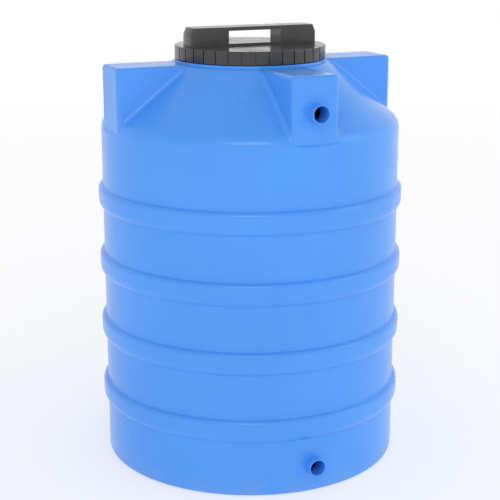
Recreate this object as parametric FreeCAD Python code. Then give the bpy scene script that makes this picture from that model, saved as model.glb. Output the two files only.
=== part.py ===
"""Vertical 300 litre water storage tank of blue polyethylene with a black screw lid.

Frame: millimetres, +Z up, origin at the centre of the underside, on the tank's axis.
-Y is the front: the raised filling spigot and the draining spigot both point that way.
"""
import FreeCAD, Part
import math
import os

Vector = FreeCAD.Vector
AXIS = Vector(0, 0, 1)
ORIGIN = Vector(0, 0, 0)
NEAR = 0.01  # tolerance for telling edges apart by their place
OVERCUT = 1.0  # how far a cut runs past the face it opens

# Tank: outer surface
WALL_R = 335.0  # plain wall
FOOT_ROUND = 10.0  # rounding between the wall and the underside
BAND_R = 345.0  # reinforcing bands
BAND_COUNT = 4
BAND_FIRST_Z = 125.0  # foot of the lowest band
BAND_HEIGHT = 52.0
BAND_PITCH = 151.5
BAND_FOOT_RISE = 8.0  # how far the underside of a band slopes up
BAND_FOOT_ROUND = 24.0
BAND_TOP_FALL = 4.0  # how far its top slopes down
BAND_TOP_ROUND = 12.0
BAND_JOIN_ROUND = 1.5  # in the corners between a band and the wall
BAND_INSET_SHARE = 0.6  # part of the wall's thickness that a band loses at each end, inside
SHOULDER_Z = 775.0  # where the wall's and the cone's lines cross
SHOULDER_ROUND = 35.0
TOP_Z = 905.0  # tops of the four bosses
TOP_R = 172.0  # where the cone's line reaches that height
RING_Z = 902.0  # flat ring round the neck
TOP_ROUND = 6.0
WALL_T = 6.0  # polyethylene thickness

# Neck with its outside thread
NECK_R = 154.0  # root of the thread
NECK_BORE_R = 148.0
NECK_TOP_Z = 932.0
NECK_ROUND = 1.5
SEAT_R = 169.5  # raised ring that the lid's skirt comes down to
SEAT_Z = 908.5
SEAT_ROUND = 1.5
SEAT_SINK = 2.0  # how deep it is rooted in the flat ring
THREAD_PITCH = 12.0
THREAD_DEPTH = 5.5
THREAD_ROOT_W = 6.4
THREAD_CREST_W = 3.2
THREAD_SINK = 0.8  # how deep a ridge is rooted in its wall
NECK_THREAD_Z = 912.5  # middle of the ridge where it starts, on +X
NECK_THREAD_TURNS = 1.25

# Four bosses that stand out of the shoulder, on -Y, -X, +X and +Y
BOSS_W = 106.0
BOSS_FACE = 330.0  # distance of the flat outer face from the axis
BOSS_ROOT = 150.5  # how far in the boss reaches, just inside the neck's wall
BOSS_HOLLOW_ROOT = 166.0  # how far in its hollow reaches
BOSS_FLOOR = 730.0  # buried in the wall
BOSS_EDGE_ROUND = 10.0
BOSS_TOP_ROUND = 8.0
BOSS_BLEND = 12.0  # hollow rounding between a boss and the cone
LEDGE_Z = 765.0  # foot of the flat face
LEDGE_DROP = 28.0
LEDGE_OUT = 30.0
BOSS_ANGLES = (0, 90, 180, 270)
SEAM_ANGLE = 45.0  # keeps the seam of the turned surfaces between two bosses

# Spigots, welded into round holes
SPIGOT_BORE_R = 17.2
SPIGOT_R = 19.8
SPIGOT_FIT = 0.05  # radial gap of a spigot in its hole
SPIGOT_OUT = 24.5  # how far it stands out
SPIGOT_IN = 10.0  # how far it reaches inside
SPIGOT_HOLE_Y = -225.0  # where the cut of its hole ends, in the open inside
SPIGOT_COLLAR_R = 24.0  # weld collar on the inside of the wall
SPIGOT_COLLAR_T = 3.0
SPIGOT_EDGE = 0.8
INLET_Z = 830.0
OUTLET_Z = 64.0

# Lid
LID_BOTTOM_Z = 910.0
LID_TOP_Z = 939.0
LID_R = 165.8  # between the grip pads
LID_PAD_R = 168.4
LID_PADS = 36
LID_PAD_GAP = 3.0  # groove between two pads
LID_EDGE_ROUND = 2.5
LID_LIP_ROUND = 1.0
LID_ROOT_ROUND = 2.0  # inside corner between the skirt and the plate
LID_SKIRT_BORE_R = 163.0
LID_PLATE_T = 3.6
LID_THREAD_TURNS = 1.1
LID_THREAD_START = -60.0  # degrees, where the lid's ridge starts
LID_RING_R = 144.0  # inner ring that keeps the gasket in place
LID_RING_T = 3.0
LID_RING_DROP = 7.5

# Bridge handle moulded on the lid, along X
HANDLE_HALF_LENGTH = 152.0
HANDLE_W = 55.0
HANDLE_TOP_Z = 980.0
HANDLE_TOP_IN = 6.5  # how far the ends lean in at the top
HANDLE_LEAN_H = 15.0  # height of the part that leans
HANDLE_LEAN_ROUND = 16.0
HANDLE_BAR_T = 8.0
HANDLE_SILL_T = 5.0
HAND_HOLE_HALF = 62.5
HANDLE_EDGE_ROUND = 3.0
HANDLE_CORNER_ROUND = 6.0
HANDLE_WALL_T = 4.0  # the two ends are hollow from below

# Gasket
GASKET_R = 157.0
GASKET_BORE_R = 146.5
GASKET_GAP = 0.1  # above and below the ring
GASKET_ROUND = 0.6


def rounded_outline(corners):
    """Closed wire in the XZ plane through (r, z, rounding) corners."""
    edges = []
    count = len(corners)
    arcs = []
    for i in range(count):
        before, here, after = corners[i - 1], corners[i], corners[(i + 1) % count]
        arcs.append(corner_arc(before, here, after))
    for i in range(count):
        start, middle, end = arcs[i]
        if (end - start).Length > 1e-6:
            edges.append(Part.Arc(start, middle, end).toShape())
        following = arcs[(i + 1) % count][0]
        if (following - end).Length > 1e-6:
            edges.append(Part.LineSegment(end, following).toShape())
    return Part.Wire(edges)


def corner_arc(before, here, after):
    """Start, middle and end of the arc that rounds a corner by its third number."""
    corner = Vector(here[0], 0, here[1])
    if here[2] == 0:
        return corner, corner, corner
    back = Vector(before[0], 0, before[1]) - corner
    ahead = Vector(after[0], 0, after[1]) - corner
    back.normalize()
    ahead.normalize()
    half = back.getAngle(ahead) / 2
    inward = back + ahead
    inward.normalize()
    centre = corner + inward * (here[2] / math.sin(half))
    reach = here[2] / math.tan(half)
    return corner + back * reach, centre - inward * here[2], corner + ahead * reach


def turned(corners):
    """Solid of revolution about the tank's axis."""
    return Part.Face(rounded_outline(corners)).revolve(ORIGIN, AXIS, 360)


def band_corners(inset):
    """Corners of the bands, from the bottom up, on a surface inset mm inside the outer one."""
    corners = []
    wall = WALL_R - inset
    land = BAND_R - inset
    join = BAND_JOIN_ROUND + inset
    for i in range(BAND_COUNT):
        foot = BAND_FIRST_Z + i * BAND_PITCH + BAND_INSET_SHARE * inset
        top = BAND_FIRST_Z + i * BAND_PITCH + BAND_HEIGHT - BAND_INSET_SHARE * inset
        corners.append((wall, foot, join))
        corners.append((land, foot + BAND_FOOT_RISE, BAND_FOOT_ROUND - inset))
        corners.append((land, top - BAND_TOP_FALL, BAND_TOP_ROUND - inset))
        corners.append((wall, top, join))
    return corners


def body_of_revolution(inset):
    """Outline of the tank without bosses or neck; inset 0 is the outside, WALL_T the cavity."""
    lean = math.atan2(SHOULDER_Z - TOP_Z, WALL_R - TOP_R)
    drop = inset / math.cos(lean)
    slope = math.tan(lean)
    cone_at_top = TOP_R + (drop - inset - TOP_Z + RING_Z) / slope
    cone_at_wall = WALL_R - inset
    corners = [(0, inset, 0), (cone_at_wall, inset, FOOT_ROUND)]
    corners += band_corners(inset)
    corners.append((cone_at_wall, SHOULDER_Z - drop - inset * slope, SHOULDER_ROUND - inset))
    corners.append((cone_at_top, RING_Z - inset, TOP_ROUND))
    return corners


def half_outline_to_solid(corners, neck_r, neck_z):
    """Adds the neck and the axis to the outline and turns it."""
    top = corners[-1][1]
    closed = corners + [(neck_r, top, 0), (neck_r, neck_z, NECK_ROUND), (0, neck_z, 0)]
    return turned(closed)


def boss_block(inset, root):
    """One boss on -Y, from its face to a root distance: a block with rounded upright and top edges."""
    half = BOSS_W / 2 - inset
    face = BOSS_FACE - inset
    top = TOP_Z - inset
    height = top - BOSS_FLOOR
    block = Part.makeBox(2 * half, face - root, height, Vector(-half, -face, BOSS_FLOOR))
    upright = [e for e in block.Edges if e.BoundBox.ZLength > NEAR and e.BoundBox.YMax < NEAR - face]
    block = block.makeFillet(BOSS_EDGE_ROUND - inset / 2, upright)
    rim = [e for e in block.Edges if e.BoundBox.ZMin > top - NEAR and e.BoundBox.YMin < -root - NEAR]
    return block.makeFillet(BOSS_TOP_ROUND - inset / 2, rim)


def boss_ledge_cutter():
    """Trims the wall's shoulder in front of a boss's flat face and leaves a sloping foot."""
    profile = [
        Vector(-BOSS_W, -BOSS_FACE, LEDGE_Z),
        Vector(-BOSS_W, -BOSS_FACE - LEDGE_OUT, LEDGE_Z - LEDGE_DROP),
        Vector(-BOSS_W, -BOSS_FACE - LEDGE_OUT, TOP_Z),
        Vector(-BOSS_W, -BOSS_FACE, TOP_Z),
    ]
    face = Part.Face(Part.makePolygon(profile + profile[:1]))
    return face.extrude(Vector(2 * BOSS_W, 0, 0))


def turned_copy(shape, angle):
    """Copy of a shape turned about the tank's axis."""
    copy = shape.copy()
    copy.rotate(ORIGIN, AXIS, angle)
    return copy


def outer_body():
    """Outside of the moulding: walls, bands, shoulder, neck and the four bosses."""
    body = half_outline_to_solid(body_of_revolution(0.0), NECK_R, NECK_TOP_Z)
    body.rotate(ORIGIN, AXIS, SEAM_ANGLE)
    for angle in BOSS_ANGLES:
        body = body.cut(turned_copy(boss_ledge_cutter(), angle))
    for angle in BOSS_ANGLES:
        body = body.fuse(turned_copy(boss_block(0.0, BOSS_ROOT), angle))
    roots = [e for e in body.Edges if type(e.Curve).__name__ == "Hyperbola"]
    return body.makeFillet(BOSS_BLEND, roots).fuse(turned_copy(lid_seat(), SEAM_ANGLE))


def lid_seat():
    """Raised ring round the neck's root."""
    low = RING_Z - SEAT_SINK
    corners = [
        (BOSS_ROOT, low, 0),
        (SEAT_R, low, 0),
        (SEAT_R, SEAT_Z, SEAT_ROUND),
        (BOSS_ROOT, SEAT_Z, 0),
    ]
    return turned(corners)


def cavity():
    """Inside of the moulding, open through the neck."""
    corners = body_of_revolution(WALL_T)
    hollow = half_outline_to_solid(corners, NECK_BORE_R, NECK_TOP_Z + NECK_ROUND)
    hollow.rotate(ORIGIN, AXIS, SEAM_ANGLE)
    for angle in BOSS_ANGLES:
        hollow = hollow.fuse(turned_copy(boss_block(WALL_T, BOSS_HOLLOW_ROOT), angle))
    return hollow


def thread_ridge(radius, z, turns, outward):
    """Helical ridge that starts on +X; outward is 1 on the neck and -1 in the lid."""
    helix = Part.makeHelix(THREAD_PITCH, THREAD_PITCH * turns, radius)
    root = radius - outward * THREAD_SINK
    crest = radius + outward * THREAD_DEPTH
    outline = [
        Vector(root, 0, -THREAD_ROOT_W / 2),
        Vector(crest, 0, -THREAD_CREST_W / 2),
        Vector(crest, 0, THREAD_CREST_W / 2),
        Vector(root, 0, THREAD_ROOT_W / 2),
    ]
    profile = Part.makePolygon(outline + outline[:1])
    ridge = Part.Wire(helix.Edges).makePipeShell([profile], True, True)
    ridge.translate(Vector(0, 0, z))
    return ridge


def along_front(radius, z, y0, y1):
    """Cylinder along Y from y0 to y1, at x = 0."""
    return Part.makeCylinder(radius, y1 - y0, Vector(0, y0, z), Vector(0, 1, 0))


def spigot(z, face_y):
    """Short pipe with a weld collar inside the wall; face_y is the outer face of the wall."""
    mouth = face_y - SPIGOT_OUT
    inside = face_y + WALL_T
    pipe = along_front(SPIGOT_R, z, mouth, inside + SPIGOT_IN)
    collar_start = inside + collar_gap(face_y)
    collar = along_front(SPIGOT_COLLAR_R, z, collar_start, collar_start + SPIGOT_COLLAR_T)
    bore = along_front(SPIGOT_BORE_R, z, mouth - OVERCUT, inside + SPIGOT_IN + OVERCUT)
    pipe = pipe.fuse(collar).cut(bore)
    lip = [e for e in pipe.Edges if e.BoundBox.YMax < mouth + NEAR]
    return pipe.makeFillet(SPIGOT_EDGE, lip)


def collar_gap(face_y):
    """Room that a flat collar needs behind the curved wall; none behind a flat boss."""
    if abs(face_y) < WALL_R:
        return 0.0
    inner = WALL_R - WALL_T
    return inner - math.sqrt(inner ** 2 - SPIGOT_COLLAR_R ** 2)


def tank_shell():
    """The rotomoulded body with its threaded neck and two round holes for the spigots."""
    shell = outer_body().cut(cavity())
    for z in (INLET_Z, OUTLET_Z):
        hole = along_front(SPIGOT_R + SPIGOT_FIT, z, -BAND_R - OVERCUT, SPIGOT_HOLE_Y)
        shell = shell.cut(hole)
    ridge = thread_ridge(NECK_R, NECK_THREAD_Z, NECK_THREAD_TURNS, 1)
    return shell.fuse(ridge)


def lid_cap():
    """Plate, skirt with its grip pads, and the inner ring that holds the gasket."""
    plate_z = LID_TOP_Z - LID_PLATE_T
    ring_z = plate_z - LID_RING_DROP
    corners = [
        (0, LID_TOP_Z, 0),
        (LID_PAD_R, LID_TOP_Z, LID_EDGE_ROUND),
        (LID_PAD_R, LID_BOTTOM_Z, LID_LIP_ROUND),
        (LID_SKIRT_BORE_R, LID_BOTTOM_Z, 0),
        (LID_SKIRT_BORE_R, plate_z, LID_ROOT_ROUND),
        (LID_RING_R, plate_z, 0),
        (LID_RING_R, ring_z, 0),
        (LID_RING_R - LID_RING_T, ring_z, 0),
        (LID_RING_R - LID_RING_T, plate_z, 0),
        (0, plate_z, 0),
    ]
    cap = turned(corners)
    grooves = [turned_copy(grip_groove(), i * 360.0 / LID_PADS) for i in range(LID_PADS)]
    return cap.cut(Part.makeCompound(grooves))


def grip_groove():
    """Upright groove between two grip pads, on +X."""
    depth = LID_PAD_R - LID_R + OVERCUT
    height = LID_TOP_Z - LID_BOTTOM_Z
    return Part.makeBox(depth, LID_PAD_GAP, height, Vector(LID_R, -LID_PAD_GAP / 2, LID_BOTTOM_Z))


def handle_form(inset, floor_z):
    """The handle's outside, or the same form inset for the hollows in its ends."""
    top = HANDLE_TOP_Z - inset
    reach = HANDLE_HALF_LENGTH - inset
    half_w = HANDLE_W / 2 - inset
    corners = [
        (0, top, 0),
        (reach - HANDLE_TOP_IN, top, 0),
        (reach, top - HANDLE_LEAN_H, HANDLE_LEAN_ROUND),
        (reach, floor_z, 0),
        (0, floor_z, 0),
    ]
    bar = Part.makeBox(2 * reach, 2 * half_w, top - floor_z, Vector(-reach, -half_w, floor_z))
    return bar.common(turned(corners))


def handle():
    """Bridge handle: two end blocks, a bar across the hand hole and a low sill under it."""
    form = handle_form(0.0, LID_TOP_Z - LID_PLATE_T / 2)
    ends = [e for e in form.Edges if e.BoundBox.YLength < NEAR and e.BoundBox.ZLength > HANDLE_SILL_T]
    form = form.makeFillet(HANDLE_CORNER_ROUND, ends)
    rim = [e for e in form.Edges if e.BoundBox.ZMin > HANDLE_TOP_Z - NEAR]
    form = form.makeFillet(HANDLE_EDGE_ROUND, rim)
    hole_z = LID_TOP_Z + HANDLE_SILL_T
    hole_h = HANDLE_TOP_Z - HANDLE_BAR_T - hole_z
    corner = Vector(-HAND_HOLE_HALF, -HANDLE_W, hole_z)
    return form.cut(Part.makeBox(2 * HAND_HOLE_HALF, 2 * HANDLE_W, hole_h, corner))


def end_hollows():
    """The spaces inside the two ends of the handle, open from below."""
    form = handle_form(HANDLE_WALL_T, LID_TOP_Z - 2 * LID_PLATE_T)
    middle = HAND_HOLE_HALF + HANDLE_WALL_T
    corner = Vector(-middle, -HANDLE_W, LID_BOTTOM_Z)
    return form.cut(Part.makeBox(2 * middle, 2 * HANDLE_W, HANDLE_TOP_Z - LID_BOTTOM_Z, corner))


def lid():
    """Screw lid in one moulding, with its inside thread."""
    body = lid_cap().fuse(handle()).cut(end_hollows())
    start = NECK_THREAD_Z + THREAD_PITCH / 2 + THREAD_PITCH * LID_THREAD_START / 360
    ridge = thread_ridge(LID_SKIRT_BORE_R, start, LID_THREAD_TURNS, -1)
    return body.fuse(turned_copy(ridge, LID_THREAD_START))


def lid_gasket():
    """Flat rubber ring between the neck and the lid's plate."""
    low = NECK_TOP_Z + GASKET_GAP
    high = LID_TOP_Z - LID_PLATE_T - GASKET_GAP
    corners = [
        (GASKET_BORE_R, low, GASKET_ROUND),
        (GASKET_R, low, GASKET_ROUND),
        (GASKET_R, high, GASKET_ROUND),
        (GASKET_BORE_R, high, GASKET_ROUND),
    ]
    return turned(corners)


def write(name, shape):
    """Writes one node, and says what it is."""
    shape.exportStep("parts/%s.step" % name)
    print(name, shape.isValid(), len(shape.Solids), round(shape.Volume / 1000, 1), "cm3")


os.makedirs("parts", exist_ok=True)
write("tank_shell", tank_shell())
write("inlet_spigot", spigot(INLET_Z, -BOSS_FACE))
write("outlet_spigot", spigot(OUTLET_Z, -WALL_R))
write("screw_lid", lid())
write("lid_gasket", lid_gasket())
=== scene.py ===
import math

import bpy
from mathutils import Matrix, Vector


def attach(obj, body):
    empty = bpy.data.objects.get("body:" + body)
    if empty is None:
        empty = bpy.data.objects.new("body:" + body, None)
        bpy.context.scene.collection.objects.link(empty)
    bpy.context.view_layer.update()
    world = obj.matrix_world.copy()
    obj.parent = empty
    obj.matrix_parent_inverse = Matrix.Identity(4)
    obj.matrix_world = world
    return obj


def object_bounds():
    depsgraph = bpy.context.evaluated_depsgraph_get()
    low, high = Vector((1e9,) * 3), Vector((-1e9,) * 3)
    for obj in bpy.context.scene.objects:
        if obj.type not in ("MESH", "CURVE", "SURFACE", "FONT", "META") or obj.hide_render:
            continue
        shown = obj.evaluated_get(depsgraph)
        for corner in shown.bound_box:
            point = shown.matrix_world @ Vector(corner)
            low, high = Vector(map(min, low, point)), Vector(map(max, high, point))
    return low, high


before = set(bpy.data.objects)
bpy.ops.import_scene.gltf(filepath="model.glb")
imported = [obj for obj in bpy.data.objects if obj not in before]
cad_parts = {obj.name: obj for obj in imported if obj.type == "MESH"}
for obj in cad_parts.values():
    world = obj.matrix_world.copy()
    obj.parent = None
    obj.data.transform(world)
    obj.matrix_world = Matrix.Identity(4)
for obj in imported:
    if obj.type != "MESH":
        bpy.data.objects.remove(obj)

cad_low, cad_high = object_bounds()

# Camera: a little above the tank, to the left of its front
CAMERA_AZIMUTH = math.radians(-24.06)
CAMERA_DISTANCE = 2.898
CAMERA_HEIGHT = 1.226
CAMERA_PITCH = math.radians(14.73)
CAMERA_LENS = 92.9
CAMERA_SENSOR = 36.0

# Studio: floor, world and softboxes
WHITE = (1, 1, 1, 1)
FLOOR_SIZE = 60.0
FLOOR_COLOUR = (0.55, 0.555, 0.57, 1)
FLOOR_ROUGHNESS = 0.9
FLOOR_GLOW_NEAR = 0.49
FLOOR_GLOW_FAR = 0.56
FLOOR_NEAR = 0.8  # metres from the tank where the glow starts to rise
FLOOR_FAR = 6.0
WORLD_HORIZON = 1.05
WORLD_ZENITH = 0.62
WORLD_LEFT = 0.9
WORLD_RIGHT = 1.05
LIGHT_AIM = (0, 0, 0.5)
FRONT_PLACE = (-1.2, -2.6, 2.9)
FRONT_SIZE = (1.6, 0.8)
FRONT_POWER = 14
RIGHT_PLACE = (2.8, -1.8, 2.2)
RIGHT_SIZE = (1.2, 2.0)
RIGHT_POWER = 7

# Colours
BLUE_DEEP = (0.062, 0.312, 0.90, 1)
BLUE_LIGHT = (0.075, 0.345, 0.975, 1)
BLUE_PALE = (0.17, 0.43, 0.96, 1)
SCUFF_PALE = (0.22, 0.45, 0.88, 1)
DUST = (0.40, 0.40, 0.42, 1)
LID_DARK = (0.036, 0.036, 0.037, 1)
LID_LIGHT = (0.046, 0.046, 0.047, 1)
RUBBER_DARK = (0.014, 0.014, 0.015, 1)
RUBBER_LIGHT = (0.035, 0.035, 0.036, 1)
PLASTIC_IOR = 1.5
DUST_HEIGHT = 0.05  # how far up the wall the dust of the floor reaches

# Weld flash round the two spigots
INLET_PLACE = (0, -0.330, 0.830)
OUTLET_PLACE = (0, -0.335, 0.064)
TANK_WALL_R = 0.335
BEAD_R = 0.0204
BEAD_T = 0.0017
BEAD_FLATNESS = 0.8
BEAD_STEPS = 120
BEAD_SIDES = 12
BEAD_WAVES = ((0.14, 7, 1.3), (0.09, 17, 0.4))  # share of the thickness, waves in a turn, phase


def new_material(name):
    """New node material: returns it with its tree, its shader and a coordinate node."""
    material = bpy.data.materials.new(name)
    material.use_nodes = True
    tree = material.node_tree
    shader = tree.nodes["Principled BSDF"]
    coords = tree.nodes.new("ShaderNodeTexCoord")
    return material, tree, shader, coords


def noise(tree, coords, scale, detail=3.0, stretch=(1, 1, 1)):
    """Noise over the object, scale in lumps per metre; a stretch under 1 draws it out along an axis."""
    mapping = tree.nodes.new("ShaderNodeMapping")
    mapping.inputs["Scale"].default_value = stretch
    tree.links.new(coords.outputs["Object"], mapping.inputs["Vector"])
    node = tree.nodes.new("ShaderNodeTexNoise")
    node.inputs["Scale"].default_value = scale
    node.inputs["Detail"].default_value = detail
    tree.links.new(mapping.outputs["Vector"], node.inputs["Vector"])
    return node.outputs["Fac"]


def remap(tree, source, low, high, from_low=0.3, from_high=0.7):
    """Maps from_low...from_high of a source to low...high, clamped; the defaults suit noise."""
    node = tree.nodes.new("ShaderNodeMapRange")
    node.inputs["From Min"].default_value = from_low
    node.inputs["From Max"].default_value = from_high
    node.inputs["To Min"].default_value = low
    node.inputs["To Max"].default_value = high
    tree.links.new(source, node.inputs["Value"])
    return node.outputs["Result"]


def calculate(tree, operation, first, second):
    """Result of a math node on two sockets."""
    node = tree.nodes.new("ShaderNodeMath")
    node.operation = operation
    tree.links.new(first, node.inputs[0])
    tree.links.new(second, node.inputs[1])
    return node.outputs["Value"]


def mix_colour(tree, factor, first, second):
    """Mix of two colours; either one may be a socket."""
    node = tree.nodes.new("ShaderNodeMix")
    node.data_type = "RGBA"
    tree.links.new(factor, node.inputs["Factor"])
    for name, value in (("A", first), ("B", second)):
        if isinstance(value, tuple):
            node.inputs[name].default_value = value
        else:
            tree.links.new(value, node.inputs[name])
    return node.outputs["Result"]


def height_of(tree, coords):
    """Height over the object's origin."""
    node = tree.nodes.new("ShaderNodeSeparateXYZ")
    tree.links.new(coords.outputs["Object"], node.inputs["Vector"])
    return node.outputs["Z"]


def bumps(tree, shader, layers):
    """Stacks bump layers of (height socket, strength, depth in metres) on the shader's normal."""
    normal = None
    for height, strength, depth in layers:
        node = tree.nodes.new("ShaderNodeBump")
        node.inputs["Strength"].default_value = strength
        node.inputs["Distance"].default_value = depth
        tree.links.new(height, node.inputs["Height"])
        if normal:
            tree.links.new(normal, node.inputs["Normal"])
        normal = node.outputs["Normal"]
    tree.links.new(normal, shader.inputs["Normal"])


def polyethylene(name, rough_low, rough_high, peel):
    """Blue rotomoulded polyethylene: clouded colour, orange peel, faint scuffs and dust at the foot."""
    material, tree, shader, coords = new_material(name)
    cloud = noise(tree, coords, scale=3.0, detail=4.0)
    speck = noise(tree, coords, scale=420.0, detail=2.0)
    scuff = noise(tree, coords, scale=26.0, detail=6.0, stretch=(1, 1, 0.25))
    colour = mix_colour(tree, remap(tree, cloud, 0.0, 1.0), BLUE_DEEP, BLUE_LIGHT)
    colour = mix_colour(tree, remap(tree, speck, 0.0, 0.10, 0.55, 0.75), colour, BLUE_PALE)
    colour = mix_colour(tree, remap(tree, scuff, 0.0, 0.05, 0.60, 0.76), colour, SCUFF_PALE)
    low = remap(tree, height_of(tree, coords), 1.0, 0.0, 0.0, DUST_HEIGHT)
    dusty = calculate(tree, "MULTIPLY", low, remap(tree, scuff, 0.04, 0.22, 0.35, 0.65))
    colour = mix_colour(tree, dusty, colour, DUST)
    tree.links.new(colour, shader.inputs["Base Color"])

    rough = remap(tree, noise(tree, coords, scale=14.0, detail=5.0), rough_low, rough_high)
    rough = calculate(tree, "ADD", rough, remap(tree, scuff, 0.0, 0.10, 0.58, 0.74))
    tree.links.new(rough, shader.inputs["Roughness"])

    sag = noise(tree, coords, scale=6.0, detail=1.0)
    skin = noise(tree, coords, scale=260.0, detail=1.0)
    bumps(tree, shader, ((sag, 0.10, 0.004), (skin, peel, 0.0003)))
    shader.inputs["IOR"].default_value = PLASTIC_IOR
    return material


def lid_plastic():
    """Black injection-moulded plastic: glossy, with a fine grain, hairline scratches and a little dust."""
    material, tree, shader, coords = new_material("black_lid_plastic")
    cloud = noise(tree, coords, scale=22.0, detail=4.0)
    dust = noise(tree, coords, scale=60.0, detail=6.0)
    scratch = noise(tree, coords, scale=90.0, detail=2.0, stretch=(1, 0.06, 1))
    colour = mix_colour(tree, remap(tree, cloud, 0.0, 1.0), LID_DARK, LID_LIGHT)
    colour = mix_colour(tree, remap(tree, dust, 0.0, 0.06, 0.56, 0.78), colour, DUST)
    tree.links.new(colour, shader.inputs["Base Color"])

    rough = remap(tree, cloud, 0.13, 0.22)
    rough = calculate(tree, "ADD", rough, remap(tree, scratch, 0.0, 0.10, 0.58, 0.70))
    tree.links.new(rough, shader.inputs["Roughness"])

    grain = noise(tree, coords, scale=700.0, detail=1.0)
    bumps(tree, shader, ((scratch, 0.06, 0.0002), (grain, 0.05, 0.0002)))
    shader.inputs["IOR"].default_value = PLASTIC_IOR
    return material


def rubber():
    """Black sealing rubber: matt, mottled, with a pale bloom."""
    material, tree, shader, coords = new_material("seal_rubber")
    bloom = noise(tree, coords, scale=35.0, detail=5.0)
    colour = mix_colour(tree, remap(tree, bloom, 0.0, 1.0), RUBBER_DARK, RUBBER_LIGHT)
    tree.links.new(colour, shader.inputs["Base Color"])
    tree.links.new(remap(tree, bloom, 0.5, 0.75), shader.inputs["Roughness"])
    grain = noise(tree, coords, scale=900.0, detail=2.0)
    bumps(tree, shader, ((grain, 0.3, 0.0003),))
    return material


def give(node, material):
    """Puts one material on a CAD node."""
    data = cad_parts[node].data
    data.materials.clear()
    data.materials.append(material)


def bead_thickness(turn):
    """Half-thickness of the weld flash at an angle round its spigot."""
    waves = [share * math.sin(count * turn + phase) for share, count, phase in BEAD_WAVES]
    return BEAD_T * (1 + waves[0] + waves[1])


def bead_points(place, wall_r):
    """Ring of cross-sections that follows a flat face, or a wall of radius wall_r."""
    points = []
    for i in range(BEAD_STEPS):
        turn = 2 * math.pi * i / BEAD_STEPS
        thick = bead_thickness(turn)
        for j in range(BEAD_SIDES):
            around = 2 * math.pi * j / BEAD_SIDES
            reach = BEAD_R + thick * math.cos(around)
            x = reach * math.cos(turn)
            back = wall_r - math.sqrt(wall_r ** 2 - x ** 2) if wall_r else 0.0
            y = place[1] + back - BEAD_FLATNESS * thick * math.sin(around)
            points.append((x, y, place[2] + reach * math.sin(turn)))
    return points


def bead_faces():
    """Quads between neighbouring cross-sections of the ring."""
    faces = []
    for i in range(BEAD_STEPS):
        here = i * BEAD_SIDES
        beyond = (i + 1) % BEAD_STEPS * BEAD_SIDES
        for j in range(BEAD_SIDES):
            after = (j + 1) % BEAD_SIDES
            faces.append((here + j, here + after, beyond + after, beyond + j))
    return faces


def weld_bead(name, place, wall_r, material):
    """Uneven ring of flash where a spigot meets the tank; wall_r is None on a flat face."""
    faces = bead_faces()
    mesh = bpy.data.meshes.new(name)
    mesh.from_pydata(bead_points(place, wall_r), [], faces)
    mesh.polygons.foreach_set("use_smooth", [True] * len(faces))
    mesh.materials.append(material)
    bead = bpy.data.objects.new(name, mesh)
    bpy.context.scene.collection.objects.link(bead)
    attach(bead, "tank")


def make_camera():
    """Camera at the photograph's viewing angle."""
    data = bpy.data.cameras.new("camera")
    data.lens = CAMERA_LENS
    data.sensor_width = CAMERA_SENSOR
    camera = bpy.data.objects.new("camera", data)
    bpy.context.scene.collection.objects.link(camera)
    x = CAMERA_DISTANCE * math.sin(CAMERA_AZIMUTH)
    y = -CAMERA_DISTANCE * math.cos(CAMERA_AZIMUTH)
    camera.location = (x, y, CAMERA_HEIGHT)
    camera.rotation_euler = (math.pi / 2 - CAMERA_PITCH, 0, CAMERA_AZIMUTH)
    bpy.context.scene.camera = camera


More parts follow.
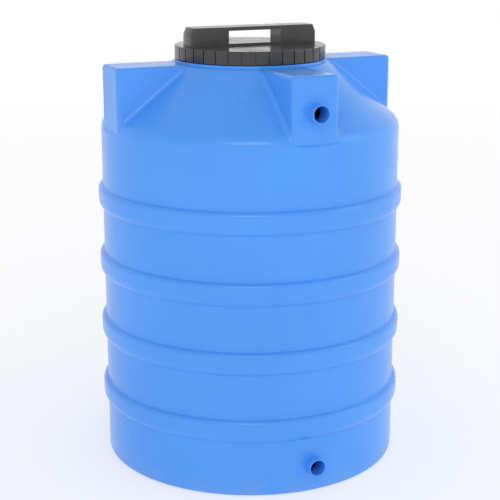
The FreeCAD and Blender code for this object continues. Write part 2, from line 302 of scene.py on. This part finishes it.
def make_floor():
    """Pale floor, a little brighter far away."""
    bpy.ops.mesh.primitive_plane_add(size=FLOOR_SIZE, location=(0, 0, cad_low.z))
    floor = bpy.context.object
    floor.name = "floor"
    material, tree, shader, coords = new_material("floor_white")
    distance = tree.nodes.new("ShaderNodeVectorMath")
    distance.operation = "LENGTH"
    tree.links.new(coords.outputs["Object"], distance.inputs[0])
    away = distance.outputs["Value"]
    glow = remap(tree, away, FLOOR_GLOW_NEAR, FLOOR_GLOW_FAR, FLOOR_NEAR, FLOOR_FAR)
    tree.links.new(glow, shader.inputs["Emission Strength"])
    shader.inputs["Emission Color"].default_value = WHITE
    shader.inputs["Base Color"].default_value = FLOOR_COLOUR
    shader.inputs["Roughness"].default_value = FLOOR_ROUGHNESS
    floor.data.materials.append(material)


def area_light(name, place, size, power):
    """White softbox aimed at the middle of the tank."""
    data = bpy.data.lights.new(name, "AREA")
    data.shape = "RECTANGLE"
    data.size, data.size_y = size
    data.energy = power
    light = bpy.data.objects.new(name, data)
    light.location = place
    aim = Vector(LIGHT_AIM) - Vector(place)
    light.rotation_euler = aim.to_track_quat("-Z", "Y").to_euler()
    bpy.context.scene.collection.objects.link(light)


def make_world():
    """White studio: bright at the horizon, softer overhead and to the left."""
    world = bpy.data.worlds.new("studio")
    bpy.context.scene.world = world
    world.use_nodes = True
    tree = world.node_tree
    background = tree.nodes["Background"]
    coords = tree.nodes.new("ShaderNodeTexCoord")
    split = tree.nodes.new("ShaderNodeSeparateXYZ")
    tree.links.new(coords.outputs["Generated"], split.inputs["Vector"])
    up = remap(tree, split.outputs["Z"], WORLD_HORIZON, WORLD_ZENITH, 0.0, 1.0)
    side = remap(tree, split.outputs["X"], WORLD_LEFT, WORLD_RIGHT, -1.0, 1.0)
    tree.links.new(calculate(tree, "MULTIPLY", up, side), background.inputs["Strength"])
    background.inputs["Color"].default_value = WHITE


def make_lights():
    """World, two softboxes and plain colour handling."""
    make_world()
    area_light("front softbox", FRONT_PLACE, FRONT_SIZE, FRONT_POWER)
    area_light("right softbox", RIGHT_PLACE, RIGHT_SIZE, RIGHT_POWER)
    bpy.context.scene.view_settings.view_transform = "Standard"


moulded = polyethylene("blue_polyethylene", rough_low=0.20, rough_high=0.27, peel=0.10)
fitting = polyethylene("blue_fitting", rough_low=0.22, rough_high=0.30, peel=0.05)
give("tank_shell", moulded)
give("inlet_spigot", fitting)
give("outlet_spigot", fitting)
weld_bead("inlet_weld", INLET_PLACE, None, fitting)
weld_bead("outlet_weld", OUTLET_PLACE, TANK_WALL_R, fitting)
give("screw_lid", lid_plastic())
give("lid_gasket", rubber())
make_camera()
make_floor()
make_lights()
